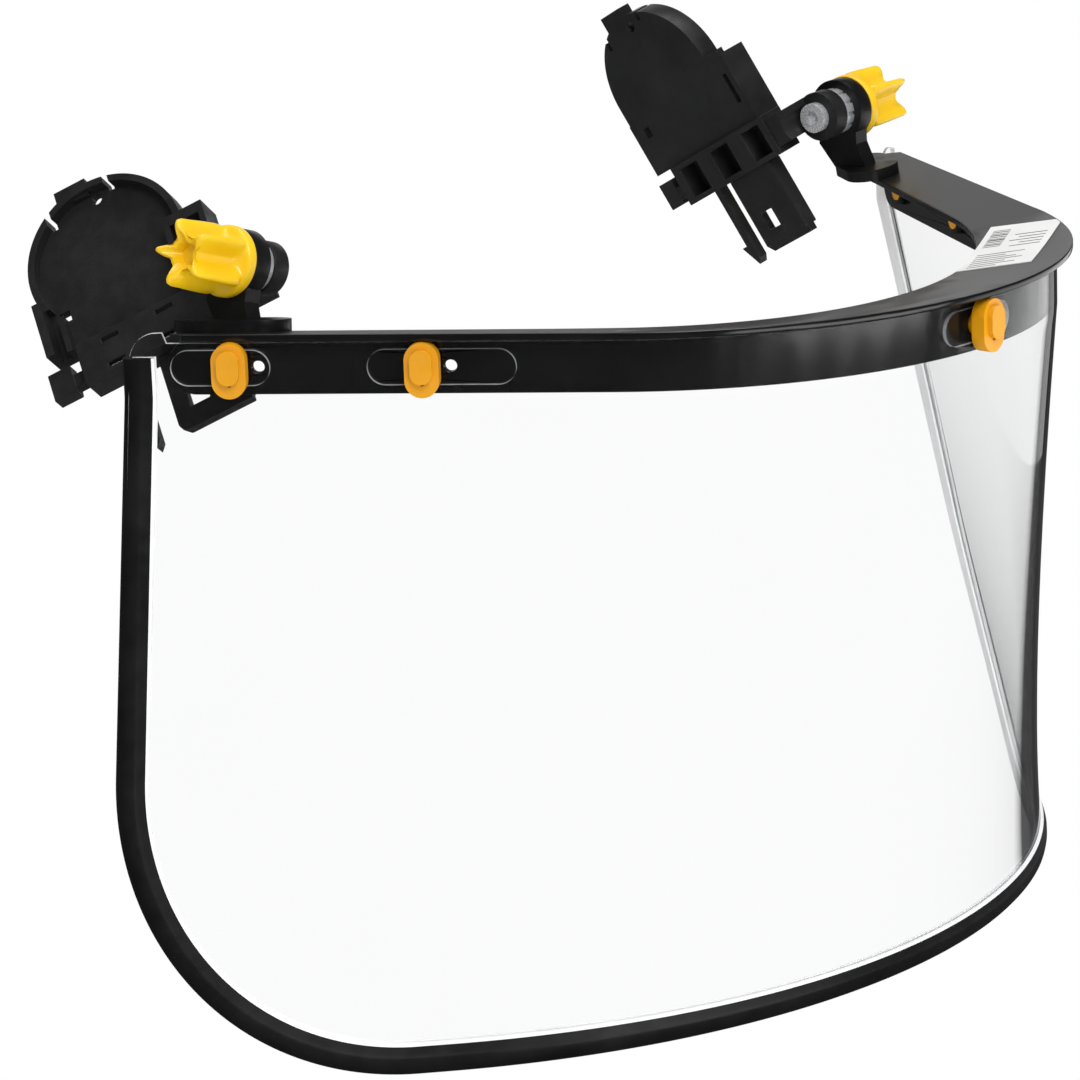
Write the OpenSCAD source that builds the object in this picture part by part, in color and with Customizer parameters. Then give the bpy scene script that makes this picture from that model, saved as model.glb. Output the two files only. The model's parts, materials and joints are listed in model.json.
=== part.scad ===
// Helmet-mounted face shield: brow frame, clear bent sheet with edging, turn buttons,
// clamped side hinges with wing knobs, and slot adapters for a helmet.
// Millimetres. +Z up, -Y is the wearer's front, +X the right-hand side of the front view.
// Origin: midway between the two side hinges.

/* [Brow frame] */
// radius of the curved front of the band, outer face
brow_r = 102.2; // [100:0.2:104]
// half of the angle that the curved front turns through
brow_angle = 56; // [54:1:58]
// straight length of each side arm after the curve
arm_len = 109; // [104:1:112]
// height of the upright band
band_h = 15; // [14:0.5:17]
// wall thickness of the upright band
band_t = 2.4; // [2:0.2:3]
// thickness of the sloping shelf
shelf_t = 1.8; // [1.6:0.2:2.4]
// slope of the shelf, falling towards the wearer
shelf_slope = 9; // [6:1:12]
// overhang of the shelf past the band at the front
lip = 5.5; // [4:0.5:7]
// depth of the shelf at the middle of the front
peak_depth = 23.5; // [18:0.5:28]

/* [Clear sheet] */
// thickness of the clear sheet
sheet_t = 1.2; // [1:0.1:1.5]
// height of the sheet from its top edge
sheet_h = 177.6; // [150:0.2:190]
// half of the sheet's length along the curve
sheet_half = 218; // [214:1:222]
// radius of the two lower corners
corner_r = 74; // [45:1:76]
// width of the edging that grips the sheet
edging_w = 8.2; // [7:0.2:10]

/* [Turn buttons] */
// stem diameter of a turn button
stem_d = 5.8; // [5:0.1:6.2]
// long side of the button's oval head
head_l = 13.4; // [12:0.2:14]
// short side of the button's oval head
head_w = 8.4; // [7.4:0.2:8.4]
// height of the oblong slots in the sheet
slot_h = 8.8; // [8.6:0.1:9.4]

/* [Side hinges] */
// distance from the middle to each hinge
hinge_x = 117.6; // [116:0.2:119]
// drop from the hinges to the top of the band
brow_drop = 14; // [13.5:0.5:15]
// upward tilt of the right-hand hinge axis
tilt_r = 3; // [0:1:8]
// upward tilt of the left-hand hinge axis
tilt_l = 17; // [12:1:18]
// half of the height step between the relaxed hinges, right one higher
hinge_step = 1.6; // [0:0.2:2]
// hinge bolt diameter
bolt_d = 5; // [4:0.5:5]
// length of the knob's lobes
knob_l = 16; // [12:0.5:18]
// outer diameter of the wing knob over its lobes
knob_d = 18.5; // [16:0.5:20]

/* [Helmet adapters] */
// swing of the right-hand adapter in the shown position
swing_r = 27; // [20:1:40]
// swing of the left-hand adapter in the shown position
swing_l = 38; // [20:1:40]
// radius of the round adapter plate
plate_r = 21.8; // [20:0.2:23]
// turn of the right-hand plate's outer face towards the front
toe_r = 10; // [4:1:12]
// turn of the left-hand plate's outer face towards the front
toe_l = 21; // [14:1:22]
// turn of the plates' outer faces upwards
plate_lean = 8; // [4:1:10]
// inward offset of the plate from the eye
plate_set = 6; // [4:0.5:7]

/* [Hidden] */
$fn = 96;
front_reach = 133.9;                      // hinge line to the front of the band
brow_y = -front_reach + brow_r;           // centre of the front curve
arc_s = brow_r * brow_angle * PI / 180;   // arc length of half the front curve
gap_t = 0.15;                             // sheet to band
sheet_r = brow_r + gap_t + sheet_t;       // outer face of the sheet along the band
sheet_top = -brow_drop - shelf_t - 0.2;
skirt_top = -brow_drop - band_h - 0.5;    // below this the sheet opens out
low_r = 188;                              // curve of the sheet's free lower edge
low_angle = 41.4;
low_y = -front_reach + 24.3 + low_r;
stem_z = -brow_drop - 8.2;
knuckle_r = 8.6;
foot_s = arc_s + 94;                      // hinge foot along the band
run = 0.06;                               // radial running clearance of pins
eye_r = 6.8;                              // outside of the adapter's eye
disc_x = -40;                             // centre of the round plate from the eye, rearwards
disc_y = -30.6;                           // and upwards
bar_top = -8.4;                           // upper side of the bridge bar
bar_front = -8.5;                         // its front end

// button places along the band, from the left-hand end to the right-hand end
button_s = [-193, -146, 0, 146, 193];
slot_len = [24.4, 36.3, 26, 36.3, 24.4];
slot_off = [-2.8, 4.3, 0, -4.3, 2.8];

// ---- frames of reference ----

// carry a part to distance s along the band: X out of the band, Y along it, Z up
module at_band(s) {
  a = min(max(s, -arc_s), arc_s) / brow_r * 180 / PI;
  rest = s - min(max(s, -arc_s), arc_s);
  translate([0, brow_y, 0]) rotate([0, 0, 270 + a]) translate([0, rest, 0]) children();
}

// hinge frame of one side (1 right, -1 left): X to the front, Y down, Z out along the bolt
module at_hinge(side) {
  mirror([side < 0 ? 1 : 0, 0, 0]) translate([hinge_x, 0, side * hinge_step])
    rotate([0, side < 0 ? -tilt_l : -tilt_r, 0]) rotate([-90, 0, -90]) children();
}

module at_adapter(side) {
  at_hinge(side) rotate([0, 0, side < 0 ? -swing_l : -swing_r]) children();
}

// the flat adapter pieces lie askew to the eye
module at_plate(side) {
  at_adapter(side) translate([0, 0, -plate_set]) rotate([plate_lean, side < 0 ? toe_l : toe_r, 0])
    children();
}

module left() { mirror([1, 0, 0]) children(); }

// rounded bar between two points of the XY plane
module bar2(a, b, w) {
  d = b - a;
  translate(a) circle(d = w);
  translate(b) circle(d = w);
  translate((a + b) / 2) rotate(atan2(d[1], d[0])) square([norm(d), w], center = true);
}

// ---- brow frame ----

// sloping shelf section: radius against height
module shelf_section() {
  t = tan(shelf_slope);
  polygon([[brow_r + lip, lip * t], [brow_r + lip, lip * t - shelf_t],
           [brow_r - 45, -45 * t - shelf_t], [brow_r - 45, -45 * t]]);
}

// the same shape on both sides of the middle
module both() {
  children();
  left() children();
}

// one side's frame: X out of the band, -Y along the arm, Z from the top of the band
module side_frame() {
  translate([0, brow_y, -brow_drop]) rotate([0, 0, 270 - brow_angle]) children();
}

module sweep_shelf() {
  both() side_frame() {
    rotate_extrude(angle = brow_angle + 1, $fn = 240) shelf_section();
    rotate([90, 0, 0]) linear_extrude(arm_len) shelf_section();
  }
}

// plan outline of the shelf, with the overhang fading along the arms
module shelf_outline() {
  n = [sin(brow_angle), -cos(brow_angle)];
  t = [cos(brow_angle), sin(brow_angle)];
  c = [0, brow_y];
  p1 = c + (brow_r + lip) * n;
  p2 = c + (brow_r + 1.7) * n + (arm_len - 4) * t;
  p3 = c + (brow_r - 4) * n + arm_len * t;
  translate(c) circle(r = brow_r + lip, $fn = 240);
  polygon([c, p1, p2, p3, [0, p3[1]], [-p3[0], p3[1]], [-p2[0], p2[1]], [-p1[0], p1[1]]]);
}

// opening for the helmet: a circle that runs into two straight sides
module shelf_opening() {
  n = [sin(brow_angle), -cos(brow_angle)];
  t = [cos(brow_angle), sin(brow_angle)];
  q = [0, brow_y] + (brow_r - 14) * n;
  // circle through the peak and tangent to the arm lines
  y0 = -front_reach + peak_depth;
  r = (n[0] * q[0] + n[1] * q[1] - n[1] * y0) / (1 + n[1]);
  cc = [0, y0 + r];
  p1 = cc + r * n;
  p2 = p1 + 130 * t;
  translate(cc) circle(r = r, $fn = 240);
  polygon([cc, p1, p2, [-p2[0], p2[1]], [-p1[0], p1[1]]]);
}

module shelf() {
  intersection() {
    sweep_shelf();
    translate([0, 0, -60]) linear_extrude(80) difference() {
      shelf_outline();
      shelf_opening();
    }
  }
}

module band() {
  h = band_h - 1;
  straight = arm_len - h / 2;
  both() side_frame() translate([0, 0, -band_h]) {
    rotate_extrude(angle = brow_angle + 1, $fn = 240) translate([brow_r - band_t, 0])
      square([band_t, h]);
    translate([brow_r - band_t, -straight, 0]) {
      cube([band_t, straight, h]);
      translate([0, 0, h / 2]) rotate([0, 90, 0]) cylinder(d = h, h = band_t);
    }
  }
}

module brow_frame() {
  color([0.1, 0.1, 0.11]) difference() {
    union() {
      shelf();
      band();
    }
    for (s = button_s) at_band(s) translate([brow_r - 10, 0, stem_z]) {
      rotate([0, 90, 0]) cylinder(r = stem_d / 2 + run, h = 20);
      // sight hole beside each stem, on the side of the front
      translate([0, s > 0 ? -6.4 : 6.4, 0]) rotate([0, 90, 0]) cylinder(d = 3, h = 20);
    }
  }
}

// ---- clear sheet and edging ----

function clampv(v, a, b) = min(max(v, a), b);
function arcpt(s, r, ang, cy, rr) =
  let (sa = r * ang * PI / 180, si = clampv(s, -sa, sa), a = si / r * 180 / PI, d = s - si)
  [rr * sin(a) + d * cos(a), cy - rr * cos(a) + d * sin(a)];
function arcang(s, r, ang) = clampv(s / r * 180 / PI, -ang, ang);
function open_k(z) = clampv((skirt_top - z) / (skirt_top - sheet_low), 0, 1);
function skin_xy(s, k) =
  arcpt(s, brow_r, brow_angle, brow_y, sheet_r) * (1 - k) + arcpt(s, low_r, low_angle, low_y, low_r) * k;
function skin_ang(s, k) =
  arcang(s, brow_r, brow_angle) * (1 - k) + arcang(s, low_r, low_angle) * k;
// point of the sheet at arc place s and height z, pushed out by q
function skin(s, z, q) =
  let (k = open_k(z), p = skin_xy(s, k), a = skin_ang(s, k))
  [p[0] + q * sin(a), p[1] - q * cos(a), z];

sheet_low = sheet_top - sheet_h;
// lowest height of the sheet at arc place s, rounded at the lower corners
function low_z(s) =
  let (d = abs(s) - (sheet_half - corner_r))
  d <= 0 ? sheet_low : sheet_low + corner_r - sqrt(max(0, corner_r * corner_r - d * d));
// highest height at arc place s: small ears past the ends of the band, rounded outside
ear_rise = 2.6;
ear_s = brow_r * brow_angle * PI / 180 + arm_len + 0.3;
top_round = 7;
function top_z(s) =
  let (d = abs(s) - (sheet_half - top_round), e = abs(s) > ear_s ? ear_rise : 0)
  d <= 0 ? sheet_top + e
    : sheet_top + e - top_round + sqrt(max(0, top_round * top_round - d * d));

// columns along the sheet, closer together in the rounded corners
col_n = 22;
cols_mid = [for (i = [-col_n : col_n]) i / col_n * (sheet_half - corner_r)];
end_n = 14;
cols_end = [for (i = [1 : end_n]) sheet_half - corner_r + corner_r * sin(i * 90 / (end_n + 0.4))];
cols = concat([for (i = [end_n - 1 : -1 : 0]) -cols_end[i]], cols_mid, cols_end);
row_n = 9;

module visor_skin() {
  nc = len(cols);
  function zed(s, j) = j == 0 ? top_z(s)
    : j == 1 ? skirt_top : skirt_top + (low_z(s) - skirt_top) * (j - 1) / (row_n - 2);
  pts = concat(
    [for (s = cols) for (j = [0 : row_n - 1]) skin(s, zed(s, j), 0)],
    [for (s = cols) for (j = [0 : row_n - 1]) skin(s, zed(s, j), -sheet_t)]);
  m = nc * row_n;
  function id(i, j) = i * row_n + j;
  faces = concat(
    [for (i = [0 : nc - 2]) for (j = [0 : row_n - 2]) each
      [[id(i, j), id(i + 1, j), id(i + 1, j + 1)], [id(i, j), id(i + 1, j + 1), id(i, j + 1)]]],
    [for (i = [0 : nc - 2]) for (j = [0 : row_n - 2]) each
      [[m + id(i, j), m + id(i + 1, j + 1), m + id(i + 1, j)],
       [m + id(i, j), m + id(i, j + 1), m + id(i + 1, j + 1)]]],
    [for (i = [0 : nc - 2]) each
      [[id(i, 0), m + id(i, 0), m + id(i + 1, 0)], [id(i, 0), m + id(i + 1, 0), id(i + 1, 0)]]],
    [for (i = [0 : nc - 2]) let (j = row_n - 1) each
      [[id(i, j), id(i + 1, j), m + id(i + 1, j)], [id(i, j), m + id(i + 1, j), m + id(i, j)]]],
    [for (j = [0 : row_n - 2]) each
      [[id(0, j), id(0, j + 1), m + id(0, j + 1)], [id(0, j), m + id(0, j + 1), m + id(0, j)]]],
    [for (j = [0 : row_n - 2]) let (i = nc - 1) each
      [[id(i, j), m + id(i, j + 1), id(i, j + 1)], [id(i, j), m + id(i, j), m + id(i, j + 1)]]]);
  polyhedron(pts, faces);
}

module visor_sheet() {
  color([0.8, 0.9, 1, 0.35]) difference() {
    visor_skin();
    for (i = [0 : 4]) at_band(button_s[i])
      translate([brow_r - 3, slot_off[i], stem_z]) rotate([90, 0, 90]) linear_extrude(12)
        bar2([-(slot_len[i] - slot_h) / 2, 0], [(slot_len[i] - slot_h) / 2, 0], slot_h);
  }
}

// the edging's route round the sheet: arc place, height, inward direction
edge_s = sheet_half - 0.4;
rim_top = sheet_top - 3.4;
function rim(u) =
  u < 10 ? [-edge_s, rim_top + (sheet_low + corner_r - rim_top) * u / 10, 1, 0]
  : u < 24 ? let (a = (u - 10) / 14 * 90)
      [-edge_s + corner_r - corner_r * cos(a), sheet_low + corner_r - corner_r * sin(a),
       cos(a), sin(a)]
  : [-edge_s + corner_r + (edge_s - corner_r) * (u - 24) / 24, sheet_low, 0, 1];
function rim_all(i) =
  i <= 48 ? rim(i) : let (r = rim(96 - i)) [-r[0], r[1], -r[2], r[3]];
function unit(v) = v / norm(v);

module visor_edging() {
  g = 1.7;
  prof = [[edging_w - g, g], [-g, g], [-g, -sheet_t - g], [edging_w - g, -sheet_t - g],
          [edging_w - g, -sheet_t], [0.4, -sheet_t], [0.4, 0], [edging_w - g, 0]];
  n = len(prof);
  pts = [for (i = [0 : 96]) let (
      r = rim_all(i), o = skin(r[0], r[1], 0), h = 0.5,
      inn = unit(skin(r[0] + h * r[2], r[1] + h * r[3], 0) - o),
      out = unit(skin(r[0], r[1], 1) - o))
    for (p = prof) o + (p[0] - 0.4) * inn + p[1] * out];
  faces = concat(
    [[for (j = [0 : n - 1]) j]],
    [[for (j = [n - 1 : -1 : 0]) 96 * n + j]],
    [for (i = [0 : 95]) for (j = [0 : n - 1]) let (k = (j + 1) % n) each
      [[i * n + j, (i + 1) * n + j, (i + 1) * n + k], [i * n + j, (i + 1) * n + k, i * n + k]]]);
  color([0.08, 0.08, 0.08]) polyhedron(pts, faces);
}

// ---- label on the shelf ----

module data_label() {
  outer = lip - 0.7;
  color("white") intersection() {
    translate([0, brow_y, -brow_drop]) rotate([0, 0, 270]) rotate_extrude(angle = 70, $fn = 240)
      polygon([for (q = [[outer, 0], [-26, 0], [-26, 0.2], [outer, 0.2]])
        [brow_r + q[0], q[0] * tan(shelf_slope) + q[1]]]);
    translate([56, -104.4, -40]) rotate([0, 0, 26]) cube([50, 19, 80], center = true);
  }
}

// ---- side hinges ----

// frame lying on the shelf at a hinge: X out of the band, Z off the shelf
module on_shelf(side) {
  at_band(side * foot_s) translate([brow_r, 0, -brow_drop]) rotate([0, -shelf_slope, 0]) children();
}

module hinge_post(side) {
  color([0.12, 0.12, 0.13]) difference() {
    union() {
      on_shelf(side) translate([-13.5, 0, 0]) linear_extrude(3)
        bar2([0, -8], [0, side > 0 ? 0 : 6], 15);
      // knuckle and its web
      at_hinge(side) translate([0, 0, 1.2]) {
        cylinder(r = knuckle_r, h = 5);
        linear_extrude(5) polygon([[-6.5, 0], [6.5, 0], [6.5, 9], [11, 19], [1, 19], [-6.5, 10]]);
      }
    }
    at_hinge(side) translate([0, 0, -5]) cylinder(d = bolt_d, h = 20);
    on_shelf(side) translate([-60, -60, -30]) cube([120, 120, 30]);
  }
}

module friction_ring(side) {
  color([0.62, 0.63, 0.65]) at_hinge(side) translate([0, 0, -2.3]) difference() {
    cylinder(r = 6.4, h = 3.5);
    translate([0, 0, -1]) cylinder(d = bolt_d, h = 6);
    for (i = [0 : 11]) rotate([0, 0, i * 30]) translate([6.4, 0, 1.2]) cylinder(d = 1, h = 4);
  }
}

module hinge_bolt(side) {
  color([0.75, 0.76, 0.78]) at_hinge(side) difference() {
    union() {
      translate([0, 0, -7.5]) cylinder(d = bolt_d, h = 24.5);
      translate([0, 0, -9.9]) cylinder(d = 8.2, h = 2.4);
    }
    translate([0, 0, -10]) cylinder(d = 4.4, h = 1.6, $fn = 6);
  }
}

module wing_knob(side) {
  color([0.96, 0.78, 0.1]) at_hinge(side) difference() {
    union() {
      translate([0, 0, 6.3]) cylinder(d = knob_d - 0.8, h = 3);
      translate([0, 0, 9.2]) cylinder(d1 = knob_d - 4, d2 = knob_d - 7, h = knob_l - 5);
      for (i = [0 : 4]) rotate([0, 0, i * 72 + 36]) translate([2, -1.3, 9.2]) {
        cube([knob_d / 2 - 3.2, 2.6, knob_l]);
        translate([knob_d / 2 - 3.3, 1.3, 0]) cylinder(d = 2.6, h = knob_l);
      }
    }
    translate([0, 0, 5]) cylinder(r = bolt_d / 2 + run, h = 14);
    // hollow between the tips of the lobes
    translate([0, 0, 9.2 + knob_l - 5.5]) cylinder(d1 = 5, d2 = 11, h = 6);
  }
}

// ---- turn buttons ----

module turn_button(i) {
  color([0.96, 0.7, 0.06]) at_band(button_s[i]) translate([brow_r, 0, stem_z]) rotate([90, 0, 90]) {
    translate([0, 0, -band_t - 2]) cylinder(d = stem_d, h = band_t + 4);
    translate([0, 0, 1.75]) difference() {
      linear_extrude(3.8) bar2([0, -(head_l - head_w) / 2], [0, (head_l - head_w) / 2], head_w);
      translate([0, -head_l / 2 + 3.6, 3]) cylinder(d = 1.4, h = 2);
    }
    // grip rib on the upper half of the head
    translate([0, 0, 5.5]) linear_extrude(1.5)
      bar2([0, -0.5], [0, (head_l - head_w) / 2], head_w - 3);
  }
}

module button_clip(i) {
  color([0.15, 0.15, 0.16]) at_band(button_s[i]) translate([brow_r, 0, stem_z])
    rotate([90, 0, 90]) translate([0, 0, -band_t - 1.7]) difference() {
      cylinder(d = stem_d + 3, h = 1.4);
      translate([0, 0, -1]) cylinder(d = stem_d, h = 4);
    }
}

// ---- helmet adapters (right-hand set; the left-hand set is its mirror) ----

module adapter_eye(side) {
  color([0.14, 0.14, 0.15]) difference() {
    union() {
      at_adapter(side) translate([0, 0, -7.4]) cylinder(r = eye_r, h = 5);
      // crank from the eye to the end of the bridge
      at_plate(side) translate([bar_front, -6.8, -11.5]) cube([6.5, 8.6, 11.2]);
    }
    at_adapter(side) translate([0, 0, -16]) cylinder(r = bolt_d / 2 + run, h = 18);
    // room for the bolt's head
    at_adapter(side) translate([0, 0, -25]) cylinder(r = 5.2, h = 17.6);
  }
}

module adapter_plate(side) {
  low = bar_top - disc_y;
  color([0.1, 0.1, 0.11]) at_plate(side) translate([disc_x, disc_y, -11]) difference() {
    union() {
      cylinder(r = plate_r, h = 2.6);
      // raised rim, open towards the bridge
      difference() {
        cylinder(r = plate_r, h = 6);
        translate([0, 0, -1]) cylinder(r = plate_r - 1.8, h = 8);
        translate([-30, 8, 2.6]) cube([60, 30, 10]);
      }
      // web of the plate above the bridge
      translate([-plate_r, 0, 0]) cube([plate_r + 28, low, 2.6]);
      // box lug on the front side, rail on the rear side
      translate([17.5, 1.5, 0]) cube([11.5, low - 1.5, 9]);
      translate([-plate_r - 0.4, 6, 0]) cube([2.4, low - 6, 8]);
      translate([-plate_r + 4.6, 9, 0]) cube([1.6, low - 9, 6]);
      // clip tab on the top
      translate([-9, -plate_r - 2.6, 0]) cube([9, 5, 4.4]);
    }
    translate([1, -18, -1]) cylinder(d = 3, h = 8);
    translate([-17.6, 8.6, -1]) cube([3, 3, 8]);
    translate([25, 7, -1]) cube([1.8, 9, 12]);
    translate([19.2, 4.5, 4]) cube([8.2, low - 7.5, 6]);
    translate([5, -plate_r - 3, -1]) cube([1.5, 6.4, 12]);
    translate([-12.6, -plate_r - 1, -1]) cube([1.5, 7.6, 12]);
  }
}

module slot_bridge(side) {
  color([0.13, 0.13, 0.14]) at_plate(side) translate([0, bar_top, 0]) difference() {
    union() {
      translate([-54.6, 0, -12]) cube([54.6 + bar_front, 12, 8]);
      translate([-58.4, 5.6, -10.4]) cube([4, 3.6, 3.6]);
      translate([-64.6, 2.6, -10.6]) cube([6.4, 8, 4]);
    }
    for (i = [0 : 2]) translate([-51.2 + i * 15.6, 1.6, -13]) cube([8.6, 8.8, 7]);
    for (i = [0 : 2]) translate([-47.4 + i * 15.6, 1.6, -13]) cube([4.8, 1.3, 10]);
    for (i = [0 : 2]) translate([-47.4 + i * 15.6, 9.1, -13]) cube([4.8, 1.3, 10]);
  }
}

module slot_tongue(side) {
  top = bar_top + 12;
  color([0.13, 0.13, 0.14]) at_plate(side) translate([0, top, -10.6]) difference() {
    union() {
      translate([-36, 0, 0]) cube([20.4, 23, 2.6]);
      translate([-17.8, 0, -0.8]) cube([2.2, 21, 4.4]);
      translate([-22.6, 0, 0]) cube([1.4, 18.6, 3.6]);
    }
    translate([-31.4, 11.8, -1]) cube([5.4, 5.4, 6]);
    translate([-36, 21, -1]) rotate([0, 0, 45]) cube([3, 3, 6]);
  }
}

module latch_prong(side) {
  top = bar_top + 12;
  color([0.13, 0.13, 0.14]) at_plate(side) translate([-42.8, top, -10.4]) linear_extrude(3) {
    translate([-1.3, 0]) square([2.6, 22]);
    polygon([[-3.4, 18], [1.3, 18], [1.3, 22.4], [0, 24.2]]);
  }
}

// ---- nodes ----

brow_frame();
visor_sheet();
visor_edging();
data_label();
hinge_post(1);  // hinge_post_r
hinge_post(-1);  // hinge_post_l
hinge_bolt(1);  // hinge_bolt_r
hinge_bolt(-1);  // hinge_bolt_l
friction_ring(1);  // friction_ring_r
friction_ring(-1);  // friction_ring_l
wing_knob(1);  // wing_knob_r
wing_knob(-1);  // wing_knob_l
turn_button(0);  // turn_button_1
turn_button(1);  // turn_button_2
turn_button(2);  // turn_button_3
turn_button(3);  // turn_button_4
turn_button(4);  // turn_button_5
button_clip(0);  // button_clip_1
button_clip(1);  // button_clip_2
button_clip(2);  // button_clip_3
button_clip(3);  // button_clip_4
button_clip(4);  // button_clip_5
adapter_eye(1);  // adapter_eye_r
adapter_eye(-1);  // adapter_eye_l
adapter_plate(1);  // adapter_plate_r
adapter_plate(-1);  // adapter_plate_l
slot_bridge(1);  // slot_bridge_r
slot_bridge(-1);  // slot_bridge_l
slot_tongue(1);  // slot_tongue_r
slot_tongue(-1);  // slot_tongue_l
latch_prong(1);  // latch_prong_r
latch_prong(-1);  // latch_prong_l
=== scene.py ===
"""Looks of the helmet-mounted face shield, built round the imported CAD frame.

The scene is in metres, with +Z up and -Y to the front. Sizes in the script are in millimetres.
"""

import json
import math

import bmesh
import bpy
from mathutils import Matrix, Vector
from mathutils.geometry import delaunay_2d_cdt


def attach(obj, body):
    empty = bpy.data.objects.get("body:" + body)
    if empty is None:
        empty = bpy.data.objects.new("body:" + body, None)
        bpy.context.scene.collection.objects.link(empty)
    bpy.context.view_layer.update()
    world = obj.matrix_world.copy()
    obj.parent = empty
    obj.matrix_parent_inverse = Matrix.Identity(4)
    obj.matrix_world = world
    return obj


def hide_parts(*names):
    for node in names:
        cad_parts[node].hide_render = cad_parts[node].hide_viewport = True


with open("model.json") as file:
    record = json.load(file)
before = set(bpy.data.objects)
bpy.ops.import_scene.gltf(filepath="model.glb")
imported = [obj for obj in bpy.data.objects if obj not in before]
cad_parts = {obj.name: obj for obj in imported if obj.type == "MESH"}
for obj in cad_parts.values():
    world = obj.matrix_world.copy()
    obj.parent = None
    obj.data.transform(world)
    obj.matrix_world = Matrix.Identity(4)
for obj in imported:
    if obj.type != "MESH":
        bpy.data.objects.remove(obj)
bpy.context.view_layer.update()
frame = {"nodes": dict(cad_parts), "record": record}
MM = 0.001

# sizes shared with the CAD source, in millimetres
BROW_R, BROW_ANGLE, ARM = 102.2, 56.0, 109.0
BROW_DROP, BAND_H, SHELF_SLOPE = 14.0, 15.0, 9.0
FRONT_REACH = 133.9
BROW_Y = BROW_R - FRONT_REACH
ARC_S = math.radians(BROW_ANGLE) * BROW_R
SHEET_T, SHEET_H, SHEET_HALF, CORNER_R = 1.2, 177.6, 218.0, 74.0
SHEET_GAP = 0.15
SHEET_R = BROW_R + SHEET_GAP + SHEET_T
SHEET_TOP = -BROW_DROP - 2.0
SHEET_LOW = SHEET_TOP - SHEET_H
SKIRT_TOP = -BROW_DROP - BAND_H - 0.5
LOW_R, LOW_ANGLE, LOW_BACK = 188.0, 41.4, 24.3
LOW_Y = LOW_R + LOW_BACK - FRONT_REACH
EAR_S, EAR_RISE, TOP_ROUND = ARC_S + ARM + 0.3, 2.6, 7.0
STEM_Z = -BROW_DROP - 8.2
SLOT_H = 8.8
# stem's arc place, slot length, and how far the slot's middle is from the stem
SLOTS = ((-193, 24.4, -2.8), (-146, 36.3, 4.3), (0, 26.0, 0), (146, 36.3, -4.3), (193, 24.4, 2.8))
HINGE_X, HINGE_STEP = 117.6, 1.6
# of the hinge axes, right and left, in degrees
TILT = {1: 3.0, -1: 17.0}
LABEL_X, LABEL_Y, LABEL_TURN, LABEL_T = 56, -104.4, 26, 0.2

# the photograph's viewing angle; the lens is for a 36 mm sensor
VIEW_AZIMUTH, VIEW_ELEVATION, VIEW_ROLL = -48.75, 14.39, -1.94
VIEW_AIM, VIEW_DISTANCE, VIEW_LENS = (-166.12, -134.5, -41.47), 1119.74, 167.382


# ---- materials ----

def new_material(name):
    mat = bpy.data.materials.new(name)
    mat.use_nodes = True
    tree = mat.node_tree
    return mat, tree, tree.nodes["Principled BSDF"]


def noise(tree, scale, detail=3.0, stretch=(1, 1, 1)):
    """Noise in object space; scale is in features a metre."""
    where = tree.nodes.new("ShaderNodeTexCoord")
    place = tree.nodes.new("ShaderNodeMapping")
    place.inputs["Scale"].default_value = stretch
    tex = tree.nodes.new("ShaderNodeTexNoise")
    tex.inputs["Scale"].default_value = scale
    tex.inputs["Detail"].default_value = detail
    tree.links.new(where.outputs["Object"], place.inputs["Vector"])
    tree.links.new(place.outputs["Vector"], tex.inputs["Vector"])
    return tex.outputs["Fac"]


def spread(tree, value, low, high, start=0.35, end=0.65):
    """Maps a noise value to the range low to high."""
    node = tree.nodes.new("ShaderNodeMapRange")
    node.inputs["From Min"].default_value = start
    node.inputs["From Max"].default_value = end
    node.inputs["To Min"].default_value = low
    node.inputs["To Max"].default_value = high
    tree.links.new(value, node.inputs["Value"])
    return node.outputs["Result"]


def two_tone(tree, value, dark, light, start=0.3, end=0.7):
    """Maps a noise value to a colour between dark and light."""
    ramp = tree.nodes.new("ShaderNodeValToRGB")
    ramp.color_ramp.elements[0].position = start
    ramp.color_ramp.elements[1].position = end
    ramp.color_ramp.elements[0].color = (*dark, 1)
    ramp.color_ramp.elements[1].color = (*light, 1)
    tree.links.new(value, ramp.inputs["Fac"])
    return ramp.outputs["Color"]


def fade(tree, factor, colour, dark):
    """Colour that goes to a fixed dark one as factor goes to 1."""
    node = tree.nodes.new("ShaderNodeMix")
    node.data_type = "RGBA"
    node.inputs[7].default_value = (*dark, 1)
    tree.links.new(factor, node.inputs["Factor"])
    tree.links.new(colour, node.inputs[6])
    return node.outputs[2]


def maths(tree, operation, *values):
    """Maths node on numbers and sockets."""
    node = tree.nodes.new("ShaderNodeMath")
    node.operation = operation
    for socket, value in zip(node.inputs, values):
        if isinstance(value, (int, float)):
            socket.default_value = value
        else:
            tree.links.new(value, socket)
    return node.outputs[0]


def bump(tree, shader, value, depth, strength=1.0):
    node = tree.nodes.new("ShaderNodeBump")
    node.inputs["Distance"].default_value = depth
    node.inputs["Strength"].default_value = strength
    tree.links.new(value, node.inputs["Height"])
    tree.links.new(node.outputs["Normal"], shader.inputs["Normal"])


def moulded(name, dark, light, rough, grain=1800, depth=0.00002, coat=0.0, specular=0.5):
    """Injection-moulded plastic: slow colour drift, patchy gloss unless rough is None, fine grain."""
    mat, tree, shader = new_material(name)
    shader.inputs["Specular IOR Level"].default_value = specular
    shader.inputs["Coat Weight"].default_value = coat
    shader.inputs["Coat Roughness"].default_value = 0.12
    drift = noise(tree, 60)
    tree.links.new(two_tone(tree, drift, dark, light), shader.inputs["Base Color"])
    if rough:
        tree.links.new(spread(tree, noise(tree, 240), *rough), shader.inputs["Roughness"])
    bump(tree, shader, noise(tree, grain, 2.0), depth)
    return mat


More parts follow.
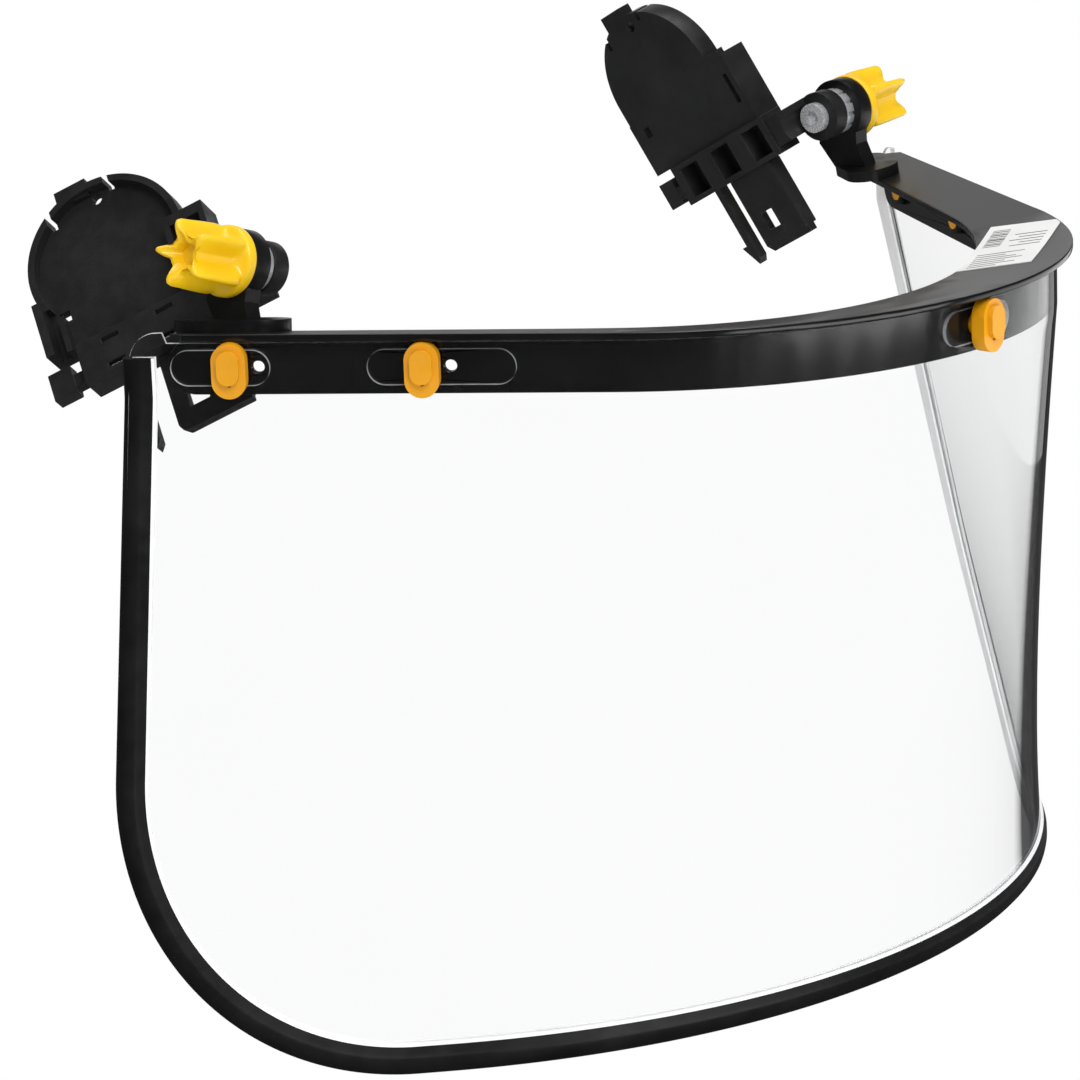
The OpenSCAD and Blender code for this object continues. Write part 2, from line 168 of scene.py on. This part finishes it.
def metal(name, colour, rough, stretch):
    """Dull plated metal."""
    mat, tree, shader = new_material(name)
    shader.inputs["Metallic"].default_value = 0.6
    lines = noise(tree, 1500, 2.0, stretch)
    dark = tuple(c * 0.88 for c in colour)
    tree.links.new(two_tone(tree, lines, dark, colour), shader.inputs["Base Color"])
    tree.links.new(spread(tree, lines, *rough), shader.inputs["Roughness"])
    bump(tree, shader, lines, 0.00001)
    return mat


def clear_sheet(name, rim=False):
    """Clear sheet. On the bend its glancing rim is painted dark in the base colour: painted shade that
    stands in for the dark edge a bent sheet shows before a white ground.
    """
    mat, tree, shader = new_material(name)
    shader.inputs["Transmission Weight"].default_value = 1.0
    shader.inputs["IOR"].default_value = 1.06
    colour = two_tone(tree, noise(tree, 9), (0.955, 0.957, 0.96), (0.967, 0.969, 0.972))
    if rim:
        # painted shade: the base colour goes near black where the sheet is seen at a glance
        glance = tree.nodes.new("ShaderNodeLayerWeight")
        glance.inputs["Blend"].default_value = 0.5
        dark = spread(tree, glance.outputs["Facing"], 0.0, 1.0, 0.765, 0.805)
        colour = fade(tree, dark, colour, (0.012, 0.012, 0.013))
    tree.links.new(colour, shader.inputs["Base Color"])
    tree.links.new(spread(tree, noise(tree, 40), 0.01, 0.03), shader.inputs["Roughness"])
    bump(tree, shader, noise(tree, 6, 1.0), 0.0002, 0.2)
    return mat


def cut_edge():
    """Routed edge of the sheet: frosted, with fine tool lines."""
    mat, tree, shader = new_material("sheet_cut_edge")
    shader.inputs["Transmission Weight"].default_value = 0.35
    lines = noise(tree, 900, 2.0, (1, 1, 6))
    tree.links.new(two_tone(tree, lines, (0.6, 0.62, 0.63), (0.82, 0.84, 0.85)),
                   shader.inputs["Base Color"])
    tree.links.new(spread(tree, lines, 0.35, 0.55), shader.inputs["Roughness"])
    bump(tree, shader, lines, 0.00003)
    return mat


def brow_plastic():
    """Polished on the upright band, satin on the shelf."""
    mat = moulded("brow_frame_plastic", BLACK, SOFT_BLACK, None, 1400, 0.000004, 0.2, 0.45)
    tree = mat.node_tree
    shader = tree.nodes["Principled BSDF"]
    facing = tree.nodes.new("ShaderNodeNewGeometry")
    split = tree.nodes.new("ShaderNodeSeparateXYZ")
    tree.links.new(facing.outputs["Normal"], split.inputs["Vector"])
    tree.links.new(spread(tree, split.outputs["Z"], 0.19, 0.42, 0.2, 0.9), shader.inputs["Roughness"])
    return mat


BLACK, SOFT_BLACK = (0.0025, 0.0025, 0.0028), (0.005, 0.005, 0.0055)
MATS = {
    "brow_frame_plastic": brow_plastic(),
    "edging_plastic": moulded("edging_plastic", (0.003, 0.003, 0.003), (0.007, 0.007, 0.007),
                              (0.34, 0.44), 1200, 0.00001, 0.0, 0.3),
    "hinge_post_plastic": moulded("hinge_post_plastic", (0.003, 0.003, 0.0033),
                                  (0.008, 0.008, 0.0085), (0.3, 0.42), 2200, 0.00002, 0.0, 0.4),
    "clip_plastic": moulded("clip_plastic", BLACK, SOFT_BLACK, (0.35, 0.45)),
    "adapter_plastic": moulded("adapter_plastic", (0.01, 0.01, 0.0104), (0.016, 0.016, 0.0165),
                               (0.36, 0.5), 2600, 0.00003, 0.0, 0.4),
    "knob_plastic": moulded("knob_plastic", (0.87, 0.53, 0.004), (0.93, 0.61, 0.01),
                            (0.3, 0.42), 1500, 0.00002, 0.1),
    "button_plastic": moulded("button_plastic", (0.7, 0.3, 0.002), (0.78, 0.35, 0.004),
                              (0.3, 0.4), 1500, 0.00002, 0.1),
    "label_film": moulded("label_film", (0.74, 0.74, 0.73), (0.82, 0.82, 0.81), (0.28, 0.36),
                          500, 0.00001),
    "bolt_steel": metal("bolt_steel", (0.72, 0.73, 0.75), (0.22, 0.36), (1, 1, 1)),
    "ring_metal": metal("ring_metal", (0.62, 0.63, 0.65), (0.28, 0.42), (1, 4, 1)),
    "clear_sheet": clear_sheet("clear_sheet"),
}
# sheet for the bend, with its glancing rim painted dark (painted shade)
SHEET_BEND_PAINTED_RIM = clear_sheet("clear_sheet_bend_painted_dark_rim", rim=True)
CUT_EDGE = cut_edge()
EDGING_LINING = moulded("edging_lining", (0.8, 0.805, 0.81), (0.88, 0.885, 0.89), (0.4, 0.5),
                        1200, 0.00001)
INK = moulded("label_ink", (0.02, 0.02, 0.022), (0.035, 0.035, 0.036), (0.4, 0.5), 900, 0.000005)


# ---- mesh helpers ----

def finish_mesh(name, bm, mats, body, node, sharp=38):
    """Turns bm, in millimetres, into a piece on a body, which may stand for a CAD node."""
    bmesh.ops.recalc_face_normals(bm, faces=bm.faces)
    bmesh.ops.scale(bm, vec=(MM, MM, MM), verts=bm.verts)
    mesh = bpy.data.meshes.new(name)
    bm.to_mesh(mesh)
    bm.free()
    for p in mesh.polygons:
        p.use_smooth = True
    mesh.set_sharp_from_angle(angle=math.radians(sharp))
    for m in mats:
        mesh.materials.append(m)
    obj = bpy.data.objects.new(name, mesh)
    bpy.context.scene.collection.objects.link(obj)
    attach(obj, body)
    if node:
        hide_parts(node)
    return obj


def stack(bm, rings):
    """Joins rings of points into a tube, closed at both ends."""
    loops = [[bm.verts.new(p) for p in ring] for ring in rings]
    n = len(loops[0])
    for a, b in zip(loops, loops[1:]):
        for i in range(n):
            bm.faces.new((a[i], a[(i + 1) % n], b[(i + 1) % n], b[i]))
    bm.faces.new(loops[0])
    bm.faces.new(loops[-1])


# ---- the sheet's curved surface, as in the CAD ----

def clamp(v, a, b):
    return min(max(v, a), b)


def arc_point(s, r, angle, centre_y, radius):
    """Point at arc place s, measured at radius r, on a bend of the given radius with straight ends."""
    reach = math.radians(angle) * r
    on_arc = clamp(s, -reach, reach)
    a, past = on_arc / r, s - on_arc
    return (radius * math.sin(a) + past * math.cos(a),
            centre_y - radius * math.cos(a) + past * math.sin(a), a)


def skirt(z):
    """0 at the band and above it, 1 at the sheet's lower edge."""
    return clamp((SKIRT_TOP - z) / (SKIRT_TOP - SHEET_LOW), 0, 1)


def skin(s, z, q=0.0):
    """Point of the sheet's outer face at arc place s and height z, pushed out by q."""
    k = skirt(z)
    x0, y0, a0 = arc_point(s, BROW_R, BROW_ANGLE, BROW_Y, SHEET_R)
    x1, y1, a1 = arc_point(s, LOW_R, LOW_ANGLE, LOW_Y, LOW_R)
    a = a0 * (1 - k) + a1 * k
    return Vector((x0 * (1 - k) + x1 * k + q * math.sin(a),
                   y0 * (1 - k) + y1 * k - q * math.cos(a), z))


def bend_end(z):
    """Arc place where the bend ends and the flat side begins, at height z."""
    k = skirt(z)
    return ARC_S * (1 - k) + math.radians(LOW_ANGLE) * LOW_R * k


def sheet_top(s):
    rise = EAR_RISE * clamp(abs(s) - EAR_S + 0.5, 0, 1)
    past = abs(s) - (SHEET_HALF - TOP_ROUND)
    drop = 0 if past <= 0 else TOP_ROUND - math.sqrt(max(0, TOP_ROUND**2 - past**2))
    return SHEET_TOP + rise - drop


def sheet_bottom(s):
    past = abs(s) - (SHEET_HALF - CORNER_R)
    return SHEET_LOW if past <= 0 else SHEET_LOW + CORNER_R - math.sqrt(max(0, CORNER_R**2 - past**2))


def slot_outline(middle, length, n=18):
    """Oblong with round ends, at the height of the stems."""
    half, r = (length - SLOT_H) / 2, SLOT_H / 2
    ends = [(half, -90), (-half, 90)]
    return [(middle + cx + r * math.cos(math.radians(start + 180 * i / n)),
             STEM_Z + r * math.sin(math.radians(start + 180 * i / n)))
            for cx, start in ends for i in range(n + 1)]


def in_slot(c):
    """Whether a flat point lies in one of the slots."""
    reach = SLOT_H / 2
    return any(abs(c.y - STEM_Z) < reach and math.hypot(
        max(0, abs(c.x - s - off) - (length - SLOT_H) / 2), c.y - STEM_Z) < reach
        for s, length, off in SLOTS)


def sheet_outline():
    """Outline of the flattened sheet: along the lower edge, and back along the upper one."""
    flat = SHEET_HALF - CORNER_R
    corner = [-SHEET_HALF + CORNER_R * (1 - math.cos(math.radians(a * 3))) for a in range(31)]
    low = corner + [-flat + 2 * flat * i / 72 for i in range(1, 72)] + [-s for s in reversed(corner)]
    end = [SHEET_HALF - TOP_ROUND * (1 - math.sin(math.radians(a * 10))) for a in range(9, 0, -1)]
    end += [EAR_S + 0.5, EAR_S - 0.5]
    top = end + [EAR_S - 0.5 - (2 * EAR_S - 1) * i / 104 for i in range(1, 104)]
    top += [-s for s in reversed(end)]
    return [(s, sheet_bottom(s)) for s in low] + [(s, sheet_top(s)) for s in top]


def sheet_grid(ring):
    """Inner points for the flat mesh, on 4 x 6 mm, clear of the outlines' points in ring."""
    points = []
    for i in range(-53, 54):
        for j in range(30):
            z = SKIRT_TOP if j == 3 else SHEET_TOP - 4 - j * 6
            p = Vector((i * 4.0, z))
            inside = sheet_bottom(p.x) + 2 < z < sheet_top(p.x) - 2 and abs(p.x) < SHEET_HALF - 2
            if inside and all((p - q).length > 1.6 for q in ring):
                points.append(p)
    return points


def build_sheet():
    """Clear sheet with its slots, meshed flat and then bent, with routed edges."""
    ring, edges = [], []
    for loop in [sheet_outline()] + [slot_outline(s + off, length) for s, length, off in SLOTS]:
        base, n = len(ring), len(loop)
        ring += [Vector(p) for p in loop]
        edges += [(base + i, base + (i + 1) % n) for i in range(n)]
    verts, _, faces, _, _, _ = delaunay_2d_cdt(ring + sheet_grid(ring), edges, [], 1, 1e-5)

    bm = bmesh.new()
    front = [bm.verts.new(skin(v.x, v.y)) for v in verts]
    back = [bm.verts.new(skin(v.x, v.y, -SHEET_T)) for v in verts]
    used = {}
    for f in faces:
        centre = sum((verts[i] for i in f), Vector((0, 0))) / len(f)
        if in_slot(centre):
            continue
        outer = bm.faces.new([front[i] for i in f])
        # faces on the bend take the sheet with the painted dark rim
        outer.material_index = 2 if abs(centre.x) < bend_end(centre.y) else 0
        bm.faces.new([back[i] for i in reversed(f)])
        for pair in zip(f, f[1:] + f[:1]):
            used[frozenset(pair)] = used.get(frozenset(pair), 0) + 1
    for pair, count in used.items():
        if count == 1:
            a, b = pair
            bm.faces.new((front[a], front[b], back[b], back[a])).material_index = 1
    loose = [v for v in bm.verts if not v.link_faces]
    bmesh.ops.delete(bm, geom=loose, context="VERTS")
    sheet = finish_mesh("sheet_clear", bm, [MATS["clear_sheet"], CUT_EDGE, SHEET_BEND_PAINTED_RIM], "frame",
                        "visor_sheet", 50)
    sheet.visible_shadow = False


# ---- edging ----

def rim(u):
    """Arc place, height and inward direction of the sheet's edge, u from -1 to 1."""
    side, v = (1, u) if u >= 0 else (-1, -u)
    edge, top = SHEET_HALF - 0.4, SHEET_TOP - 3.4
    lengths = (edge - CORNER_R, math.pi / 2 * CORNER_R, top - SHEET_LOW - CORNER_R)
    d = v * sum(lengths)
    if d <= lengths[0]:
        s, z, ins, inz = d, SHEET_LOW, 0, 1
    elif d <= lengths[0] + lengths[1]:
        a = (d - lengths[0]) / CORNER_R
        s, z = edge - CORNER_R + CORNER_R * math.sin(a), SHEET_LOW + CORNER_R - CORNER_R * math.cos(a)
        ins, inz = -math.sin(a), math.cos(a)
    else:
        s, z, ins, inz = edge, SHEET_LOW + CORNER_R + d - lengths[0] - lengths[1], -1, 0
    return side * s, z, side * ins, inz


def build_edging():
    """Folded trim with ridged faces and lips that close on the sheet, black outside and pale inside.

    The profile's points are distances inward from the sheet's edge and outward from its middle.
    """
    mid = -SHEET_T / 2
    half = [(6.05, 0.75), (5.9, 1.25), (5.2, 1.55), (3.6, 1.75), (2.7, 2.15), (2.1, 2.28), (0.4, 2.25),
            (-0.8, 2.0), (-1.55, 1.4), (-2.0, 0.6)]
    outer = [(x, mid + y) for x, y in half] + [(x, mid - y) for x, y in reversed(half)]
    inner = [(5.7, mid - 0.6), (0.4, mid - 0.6), (0.4, mid + 0.6), (5.7, mid + 0.6)]
    profile = outer + inner
    black = range(2, len(half))
    steps = 220
    bm = bmesh.new()
    rings = []
    for i in range(-steps, steps + 1):
        s, z, ins, inz = rim(i / steps)
        o = skin(s, z)
        inward = (skin(s + 0.5 * ins, z + 0.5 * inz) - o).normalized()
        out = (skin(s, z, 1) - o).normalized()
        rings.append([o + x * inward + y * out for x, y in profile])
    stack(bm, rings)
    bm.faces.ensure_lookup_table()
    for i, face in enumerate(bm.faces[:(len(rings) - 1) * len(profile)]):
        face.material_index = 0 if i % len(profile) in black else 1
    return finish_mesh("sheet_edging", bm, [MATS["edging_plastic"], EDGING_LINING], "frame",
                       "visor_edging", 30)


# ---- wing knobs ----

def hinge_matrix(side):
    """Hinge frame of one side: X to the front, Y down, Z outward along the bolt."""
    flip = Matrix.Diagonal((side, 1, 1, 1))
    turn = Matrix.Rotation(math.radians(-90), 4, "Z") @ Matrix.Rotation(math.radians(-90), 4, "X")
    lean = Matrix.Rotation(math.radians(-TILT[side]), 4, "Y")
    return flip @ Matrix.Translation((HINGE_X, 0, side * HINGE_STEP)) @ lean @ turn


def build_knob(side):
    """Five pointed lobes on a round collar, hollow between the lobes at the tip.

    A level is the height along the bolt, core radius, reach of the lobes and how pointed they are.
    """
    levels = [(6.3, 8.2, 0, 1), (6.5, 8.7, 0, 1), (6.9, 8.9, 0, 1), (8.7, 8.9, 0, 1), (9.2, 8.6, 0, 1),
              (9.5, 7.6, 0.4, 1), (10.2, 5.9, 3.1, 1.5), (12, 5.3, 3.8, 1.8), (16, 4.9, 4.1, 2.0),
              (20, 4.5, 4.3, 2.2), (23.2, 4.3, 4.4, 2.4), (24.6, 4.1, 4.1, 2.6), (25.1, 3.9, 3.5, 2.6),
              (25.0, 3.4, 2.8, 2.6), (23.0, 3.0, 1.2, 2.2), (20.6, 2.5, 0, 1)]
    n, lobes = 160, 5
    place = hinge_matrix(side)
    bm = bmesh.new()
    rings = []
    for z, core, lobe, power in levels:
        ring = []
        for i in range(n):
            t = 2 * math.pi * i / n
            wave = (0.5 + 0.5 * math.cos(lobes * t + math.pi)) ** power
            dip = 1.98 * (1 - wave) if z > 24 else 0
            r = core + lobe * wave
            ring.append(place @ Vector((r * math.cos(t), r * math.sin(t), z - dip)))
        rings.append(ring)
    stack(bm, rings)
    tag = "r" if side > 0 else "l"
    return finish_mesh("knob_" + tag, bm, [MATS["knob_plastic"]], "knob_" + tag,
                       "wing_knob_" + tag, 50)


# ---- label print ----

def build_label_print():
    """Blank bars and stripes that stand for the label's print."""
    slope, turn = math.tan(math.radians(SHELF_SLOPE)), math.radians(LABEL_TURN)

    def on_label(along, across, up):
        x = LABEL_X + along * math.cos(turn) - across * math.sin(turn)
        y = LABEL_Y + along * math.sin(turn) + across * math.cos(turn)
        r = math.hypot(x, y - BROW_Y)
        return Vector((x, y, -BROW_DROP + (r - BROW_R) * slope + LABEL_T + up))

    def bar(a0, a1, c0, c1):
        steps = max(1, round((a1 - a0) / 2))
        rings = []
        for i in range(steps + 1):
            a = a0 + (a1 - a0) * i / steps
            rings.append([on_label(a, c0, -0.05), on_label(a, c1, -0.05),
                          on_label(a, c1, 0.03), on_label(a, c0, 0.03)])
        stack(bm, rings)

    bm = bmesh.new()
    for row, length in enumerate((7.5, 12, 9, 13, 11, 8, 12.5)):
        bar(-23 + row * 2.6, -22.4 + row * 2.6, 7.6 - length, 7.6)
    for row, length in enumerate((8, 6, 9, 7, 8.5)):
        bar(0 + row * 3.2, 0.6 + row * 3.2, -7.5, -7.5 + length)
    for i, width in enumerate((0.5, 0.9, 0.4, 0.7, 1.1, 0.4, 0.6, 0.9, 0.5, 0.7, 0.4)):
        bar(2 + i * 1.75, 2 + i * 1.75 + width, 3.2, 7.8)
    return finish_mesh("label_print", bm, [INK], "frame", None)


# ---- CAD nodes that keep their shape ----

# bevel widths in millimetres, by the start of the node's name
ROUNDING = {"brow_frame": 0.35, "hinge_post": 0.5, "friction_ring": 0.15, "hinge_bolt": 0.25,
            "turn_button": 0.7, "button_clip": 0.2, "adapter_eye": 0.4, "adapter_plate": 0.3,
            "slot_bridge": 0.3, "slot_tongue": 0.3, "latch_prong": 0.3}


def dress_nodes():
    """Gives every CAD node its slot's material, and rounds the edges of those that stay in view."""
    slot_of = {p["node"]: p["material_slot"] for p in frame["record"]["subparts"]}
    for name, obj in frame["nodes"].items():
        mat = MATS[slot_of[name]]
        obj.data.materials.clear()
        obj.data.materials.append(mat)
        width = next((w for key, w in ROUNDING.items() if name.startswith(key)), None)
        if width is None:
            continue
        weld = obj.modifiers.new("weld", "WELD")
        weld.merge_threshold = 0.000004
        soft = obj.modifiers.new("soft_edges", "BEVEL")
        soft.width = width * MM
        soft.segments = 3
        soft.limit_method = "ANGLE"
        soft.angle_limit = math.radians(40)
        soft.use_clamp_overlap = True
        soft.harden_normals = True


# ---- stage ----

def bounces(tree, path):
    """How often a ray was reflected or scattered; passes through the clear sheet don't count."""
    return maths(tree, "ADD", path.outputs["Glossy Depth"], path.outputs["Diffuse Depth"])


def seen_directly(tree, path):
    """1 for what is seen by eye or through the clear sheet, 0 for reflections and bounced light."""
    return maths(tree, "LESS_THAN", bounces(tree, path), 0.5)


def build_stage():
    """Pale floor, dark in reflections so that black stays black."""
    half, z = 6.0, (SHEET_LOW - 3.5) * MM
    bm = bmesh.new()
    corners = [bm.verts.new((x * half, y * half, z)) for x, y in ((-1, -1), (1, -1), (1, 1), (-1, 1))]
    bm.faces.new(corners)
    mesh = bpy.data.meshes.new("floor")
    bm.to_mesh(mesh)
    bm.free()
    floor = bpy.data.objects.new("floor", mesh)
    bpy.context.scene.collection.objects.link(floor)
    mat, tree, shader = new_material("floor")
    shader.inputs["Roughness"].default_value = 0.9
    path = tree.nodes.new("ShaderNodeLightPath")
    pale = two_tone(tree, noise(tree, 3), (0.78, 0.78, 0.78), (0.82, 0.82, 0.82))
    floor_colour = fade(tree, path.outputs["Glossy Depth"], pale, (0.05, 0.05, 0.05))
    tree.links.new(floor_colour, shader.inputs["Base Color"])
    glow = tree.nodes.new("ShaderNodeEmission")
    mix = tree.nodes.new("ShaderNodeMixShader")
    tree.links.new(seen_directly(tree, path), mix.inputs["Fac"])
    tree.links.new(shader.outputs["BSDF"], mix.inputs[1])
    tree.links.new(glow.outputs["Emission"], mix.inputs[2])
    tree.links.new(mix.outputs["Shader"], tree.nodes["Material Output"].inputs["Surface"])
    mesh.materials.append(mat)


def build_world():
    """White to the eye, dimmer in bounced light and dark in reflections, so that black stays black."""
    in_reflections, in_bounced_light = 0.06, 0.45
    world = bpy.data.worlds.new("studio")
    bpy.context.scene.world = world
    world.use_nodes = True
    tree = world.node_tree
    path = tree.nodes.new("ShaderNodeLightPath")
    scattered = maths(tree, "MINIMUM", path.outputs["Diffuse Depth"], 1)
    level = maths(tree, "MULTIPLY_ADD", scattered, in_bounced_light, in_reflections)
    level = maths(tree, "MULTIPLY_ADD", seen_directly(tree, path), 1 - in_reflections, level)
    tree.links.new(level, tree.nodes["Background"].inputs["Strength"])
    tree.nodes["Background"].inputs["Color"].default_value = (1, 1, 1, 1)


def area_light(name, place, aim, size, power, card=False):
    """Soft light. A card also shows in reflections that pass through the clear sheet."""
    data = bpy.data.lights.new(name, "AREA")
    data.shape = "RECTANGLE"
    data.size, data.size_y = size
    data.energy = power
    light = bpy.data.objects.new(name, data)
    light.location = place
    light.rotation_mode = "QUATERNION"
    light.rotation_quaternion = (Vector(aim) - Vector(place)).to_track_quat("-Z", "Y")
    light.visible_camera = False
    light.visible_transmission = card
    bpy.context.scene.collection.objects.link(light)


def build_lights():
    """Soft lights above, a low one behind for the shelf to mirror, and two cards for the band."""
    aim = (0, -0.05, -0.05)
    area_light("key", (-0.9, -1.3, 1.5), aim, (0.9, 0.9), 24)
    area_light("top", (0.2, 0.1, 1.8), aim, (1.2, 1.2), 14)
    area_light("back", (0.88, 0.82, 0.18), (0, -0.08, -0.02), (1.2, 0.52), 1.4)
    card_z = -0.134
    area_light("front_card", (-0.03, -0.52, card_z), (-0.04, -0.08, card_z), (0.5, 0.16), 0.75, True)
    area_light("side_card", (0.4, -0.2, card_z), (0.03, -0.05, card_z), (0.53, 0.16), 0.3, True)
    area_light("rear_fill", (0.5, 1.5, 0.9), (0, 0, -0.05), (1.2, 0.8), 3)


def build_camera():
    az, el, roll = (math.radians(a) for a in (VIEW_AZIMUTH, VIEW_ELEVATION, VIEW_ROLL))
    back = Vector((math.sin(az) * math.cos(el), -math.cos(az) * math.cos(el), math.sin(el)))
    flat_right = (-back).cross(Vector((0, 0, 1))).normalized()
    flat_up = flat_right.cross(-back)
    right = math.cos(roll) * flat_right + math.sin(roll) * flat_up
    up = -math.sin(roll) * flat_right + math.cos(roll) * flat_up
    place = (Vector(VIEW_AIM) + back * VIEW_DISTANCE) * MM
    data = bpy.data.cameras.new("camera")
    data.sensor_width = 36
    data.lens = VIEW_LENS
    data.clip_start, data.clip_end = 0.05, 60
    camera = bpy.data.objects.new("camera", data)
    camera.matrix_world = Matrix(((right.x, up.x, back.x, place.x), (right.y, up.y, back.y, place.y),
                                  (right.z, up.z, back.z, place.z), (0, 0, 0, 1)))
    bpy.context.scene.collection.objects.link(camera)
    bpy.context.scene.camera = camera


build_camera()
build_world()
build_lights()
build_stage()
dress_nodes()
build_sheet()
build_edging()
build_knob(1)
build_knob(-1)
build_label_print()
bpy.context.scene.view_settings.view_transform = "Standard"
